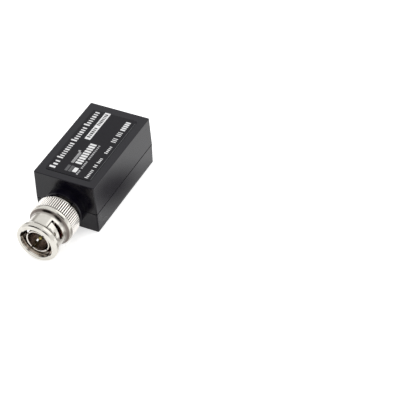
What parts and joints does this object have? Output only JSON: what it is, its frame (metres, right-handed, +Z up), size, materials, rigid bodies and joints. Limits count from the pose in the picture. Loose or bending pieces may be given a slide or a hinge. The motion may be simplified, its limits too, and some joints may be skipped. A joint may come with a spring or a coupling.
{
  "type": "video balun",
  "caption": "Small black active video balun: two-part plastic case with a knurled nickel bayonet plug at one end and a push-in wire terminal at the other.",
  "frame": {"origin": "centre of the case's underside", "axes": "-Y out of the bayonet plug, along its axis; +Z up, out of the labelled face; +X across the case"},
  "size_m": [0.0216, 0.0556, 0.018],
  "materials": {
    "case_plastic": "satin moulded plastic, near-black",
    "label_film": "thin matt film, black with white printing",
    "screw_steel": "dark zinc plate",
    "nickel_nut": "nickel plate over brass, polished",
    "nickel_body": "nickel plate over brass, as turned",
    "nickel_contact": "nickel plate over spring bronze",
    "gold_contact": "gold flash",
    "insulator_white": "natural white fluoroplastic",
    "gasket_rubber": "dark red silicone rubber",
    "spring_steel": "bright spring steel",
    "washer_brass": "plain brass",
    "board_green": "green solder mask on glass fibre",
    "ferrite": "grey-black sintered ferrite",
    "winding_copper": "varnished copper wire",
    "chip_black": "moulded epoxy",
    "can_aluminium": "bare drawn can",
    "ceramic_tan": "fired ceramic with tinned ends",
    "terminal_black": "moulded polyamide",
    "button_orange": "moulded polyamide",
    "contact_tin": "tinned copper alloy"
  },
  "bodies": {
    "case": {"upper_housing": "case_plastic", "lower_housing": "case_plastic", "housing_screws": "screw_steel", "label": "label_film", "mounting_barrel": "nickel_body", "plug_core": "nickel_body", "contact_tube": "nickel_contact", "insulator": "insulator_white", "centre_pin": "gold_contact", "gasket": "gasket_rubber", "wave_washer": "spring_steel", "circuit_board": "board_green", "choke_core": "ferrite", "choke_winding_1": "winding_copper", "choke_winding_2": "winding_copper", "amplifier_chip": "chip_black", "regulator_chip": "chip_black", "power_inductor": "ferrite", "chip_resistors": "chip_black", "chip_capacitors": "ceramic_tan", "filter_capacitor_1": "can_aluminium", "filter_capacitor_2": "can_aluminium", "surge_diode_1": "chip_black", "surge_diode_2": "chip_black", "terminal_block": "terminal_black", "clamp_spring_1": "spring_steel", "clamp_contact_1": "contact_tin", "clamp_spring_2": "spring_steel", "clamp_contact_2": "contact_tin", "clamp_spring_3": "spring_steel", "clamp_contact_3": "contact_tin", "clamp_spring_4": "spring_steel", "clamp_contact_4": "contact_tin"},
    "thrust_washer": {"thrust_washer": "washer_brass"},
    "coupling_nut": {"coupling_nut": "nickel_nut"},
    "release_button_1": {"release_button_1": "button_orange"},
    "release_button_2": {"release_button_2": "button_orange"},
    "release_button_3": {"release_button_3": "button_orange"},
    "release_button_4": {"release_button_4": "button_orange"}
  },
  "joints": [
    {"name": "nut_slide", "type": "slide", "parent": "case", "child": "thrust_washer", "axis": [0, -1, 0], "range_m": [0, 0.0006], "stiffness_N_per_m": 20000, "springref_m": -0.0002, "deforming": ["wave_washer"]},
    {"name": "nut_spin", "type": "hinge", "parent": "thrust_washer", "child": "coupling_nut", "pos_m": [0, -0.0185, 0.0076], "axis": [0, -1, 0], "continuous": true},
    {"name": "button_1_press", "type": "slide", "parent": "case", "child": "release_button_1", "axis": [0, -1, 0], "range_m": [0, 0.0015], "stiffness_N_per_m": 3000, "springref_m": -0.0005, "deforming": ["clamp_spring_1"]},
    {"name": "button_2_press", "type": "slide", "parent": "case", "child": "release_button_2", "axis": [0, -1, 0], "range_m": [0, 0.0015], "stiffness_N_per_m": 3000, "springref_m": -0.0005, "deforming": ["clamp_spring_2"]},
    {"name": "button_3_press", "type": "slide", "parent": "case", "child": "release_button_3", "axis": [0, -1, 0], "range_m": [0, 0.0015], "stiffness_N_per_m": 3000, "springref_m": -0.0005, "deforming": ["clamp_spring_3"]},
    {"name": "button_4_press", "type": "slide", "parent": "case", "child": "release_button_4", "axis": [0, -1, 0], "range_m": [0, 0.0015], "stiffness_N_per_m": 3000, "springref_m": -0.0005, "deforming": ["clamp_spring_4"]}
  ]
}
